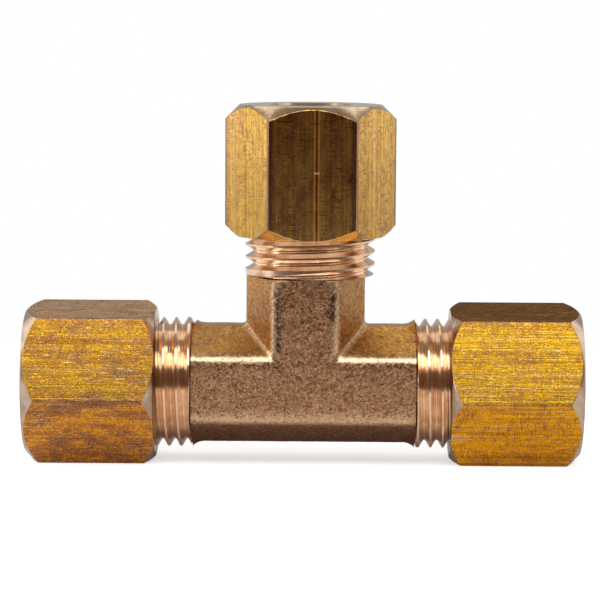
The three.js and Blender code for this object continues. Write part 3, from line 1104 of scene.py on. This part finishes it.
def make_floor(low):
    """A white sheet that goes over into the white background a few centimetres out.

    What the brass mirrors of it ends at the sheet's front edge, with a dark table beyond."""
    mesh = bpy.data.meshes.new("floor")
    signs = ((-1, -1), (1, -1), (1, 1), (-1, 1))
    corners = [(x * FLOOR_HALF, y * FLOOR_HALF, low) for x, y in signs]
    mesh.from_pydata(corners, [], [(0, 1, 2, 3)])
    floor = bpy.data.objects.new("floor", mesh)
    bpy.context.collection.objects.link(floor)
    nodes = Nodes("floor")
    place = nodes.add("TexCoord", {}, output="Object")
    away = nodes.add("VectorMath", {0: place}, output="Value", operation="LENGTH")
    fade = nodes.range(away, FLOOR_FADE_FROM, FLOOR_FADE_TO)
    sheet = nodes.range(nodes.part(place, "Y"), SHEET_EDGE - SHEET_BLUR, SHEET_EDGE)
    tone = nodes.mix(sheet, TABLE_TONE, SHEET_TONE)
    table = nodes.add("BsdfDiffuse", {"Color": tone})
    pale = nodes.add("BsdfDiffuse", {"Color": (*SHEET_TONE, 1)})
    glow = nodes.add("Emission", {"Strength": SHEET_GLOW})
    white = nodes.add("Emission", {"Strength": 1.0})
    lit = nodes.add("AddShader", {0: pale, 1: glow})
    seen = nodes.add("MixShader", {0: fade, 1: lit, 2: white})
    to_camera = nodes.add("LightPath", {}, output="Is Camera Ray")
    surface = nodes.add("MixShader", {0: to_camera, 1: table, 2: seen})
    nodes.tree.links.new(surface, nodes.tree.nodes["Material Output"].inputs["Surface"])
    mesh.materials.append(nodes.material)
    floor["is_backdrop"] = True


def make_light(name, place, size, level):
    """A softbox that looks at the object, of the same brightness all over."""
    data = bpy.data.lights.new(name, "AREA")
    data.shape = "RECTANGLE"
    data.size, data.size_y = size
    data.energy = level * math.pi * size[0] * size[1]
    light = bpy.data.objects.new(name, data)
    light.location = place
    light.rotation_mode = "QUATERNION"
    light.rotation_quaternion = (-Vector(place)).to_track_quat("-Z", "Y")
    light.visible_camera = False
    bpy.context.collection.objects.link(light)


def make_world():
    """White behind the object, and a room that is dim in front and brighter at the back."""
    world = bpy.data.worlds.new("studio")
    bpy.context.scene.world = world
    world.use_nodes = True
    tree = world.node_tree
    room = tree.nodes["Background"]
    white = tree.nodes.new("ShaderNodeBackground")
    white.inputs["Color"].default_value = (1, 1, 1, 1)
    direction = tree.nodes.new("ShaderNodeTexCoord")
    parts = tree.nodes.new("ShaderNodeSeparateXYZ")
    backward = tree.nodes.new("ShaderNodeMapRange")
    backward.inputs["From Min"].default_value = -1
    tone = tree.nodes.new("ShaderNodeMix")
    tone.data_type = "RGBA"
    tone.inputs[6].default_value = (*ROOM_FRONT, 1)
    tone.inputs[7].default_value = (*ROOM_REAR, 1)
    path = tree.nodes.new("ShaderNodeLightPath")
    choice = tree.nodes.new("ShaderNodeMixShader")
    links = (
        (direction.outputs["Generated"], parts.inputs[0]),
        (parts.outputs["Y"], backward.inputs["Value"]),
        (backward.outputs[0], tone.inputs[0]),
        (tone.outputs[2], room.inputs["Color"]),
        (path.outputs["Is Camera Ray"], choice.inputs[0]),
        (room.outputs[0], choice.inputs[1]),
        (white.outputs[0], choice.inputs[2]),
        (choice.outputs[0], tree.nodes["World Output"].inputs["Surface"]),
    )
    for source, target in links:
        tree.links.new(source, target)


# ---- The scene -----------------------------------------------------------------------

# Ways in the frame, to say which flat of a nut gets a tone of its own: partly tarnish,
# partly painted light and shade for the way that flat faces.
LOWER_FRONT = (0, -0.8, -0.6)
FRONTWARD = (0, -1, 0)
UPWARD = (0, 0, 1)

make_camera()

forged = forged_brass("forged_brass")
threads = turned_brass("thread_brass", (0.92, 0.7, 0.53), (0.7, 0.43, 0.24), roughness=0.1)
faced = {
    "left": turned_brass("dull_faced_brass", (0.6, 0.45, 0.34), (0.36, 0.24, 0.16), roughness=0.14),
    # The top nut's faced brass is smoother and paler than the run nuts': the paler color is painted
    # light on its chamfers.
    "top": turned_brass("bright_faced_brass", (0.86, 0.66, 0.42), (0.5, 0.33, 0.17), roughness=0.05),
}
faced["right"] = faced["left"]
drawn = {
    "left": drawn_brass(
        "left_drawn_brass",
        seed=3.1,
        pale=(0.52, 0.28, 0.01),
        deep=(0.42, 0.19, 0.01),
        tarnish=0.1,
        wear=0.75,
        axis="X",
        stains=[
            (flat_facing("left", LOWER_FRONT), (0.82, 0.33, 0.01), (0.42, 0.15, 0.05)),
            (flat_facing("left", UPWARD), (0.74, 0.4, 0.15), (0.56, 0.3, 0.12)),
        ],
    ),
    "right": drawn_brass(
        "right_drawn_brass",
        seed=11.4,
        pale=(0.64, 0.37, 0.012),
        deep=(0.52, 0.27, 0.012),
        tarnish=0.0,
        wear=0.6,
        axis="X",
        stains=[
            (flat_facing("right", LOWER_FRONT), (0.95, 0.43, 0.002), (0.78, 0.33, 0.004)),
            (flat_facing("right", UPWARD), (0.2, 0.1, 0.05), (0.14, 0.07, 0.04)),
        ],
        edge_tint=(0.58, 0.45, 0.36),
    ),
    "top": drawn_brass(
        "top_drawn_brass",
        seed=23.7,
        pale=(0.7, 0.41, 0.06),
        deep=(0.6, 0.33, 0.045),
        tarnish=0.03,
        wear=0.25,
        axis="Z",
        stains=[(flat_facing("top", FRONTWARD), (0.98, 0.64, 0.18), (0.62, 0.35, 0.16))],
        seam=(flat_facing("top", FRONTWARD), 0.35),
        corner_from=7.13,
        dull=0.13,
    ),
}

body = make_body()
skin = points_of(body.data)
# Pale along the long edges, partly rubbing and partly painted highlight, and along the mitres'
# fillets as painted highlight.
bright = np.maximum(rubbed_strength(skin), MITRE_BRIGHTNESS * mitre_strength(skin))
marks = [lap_strength(skin), land_strength(skin), bright]
keep(body.data, "marks", np.stack(marks, axis=1))
settle(body, Matrix.Identity(4), [forged, threads], "tee", "tee_body", arm_lathe)

nut = combine(nut_blank(), nut_tools())
ferrule = make_ferrule()
for side in ARMS:
    settle(
        copy_of(nut, side + "_hexagon_nut"),
        nut_matrix(side),
        [drawn[side], faced[side]],
        side + "_hex",
        side + "_nut",
    )
    settle(
        copy_of(ferrule, side + "_tube_ferrule"),
        ferrule_matrix(side),
        [threads, threads],
        side + "_sleeve",
        side + "_ferrule",
    )
bpy.data.objects.remove(nut)
bpy.data.objects.remove(ferrule)

make_floor(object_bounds()[0].z)
for softbox in SOFTBOXES:
    make_light(*softbox)
make_world()
bpy.context.scene.view_settings.view_transform = "Standard"
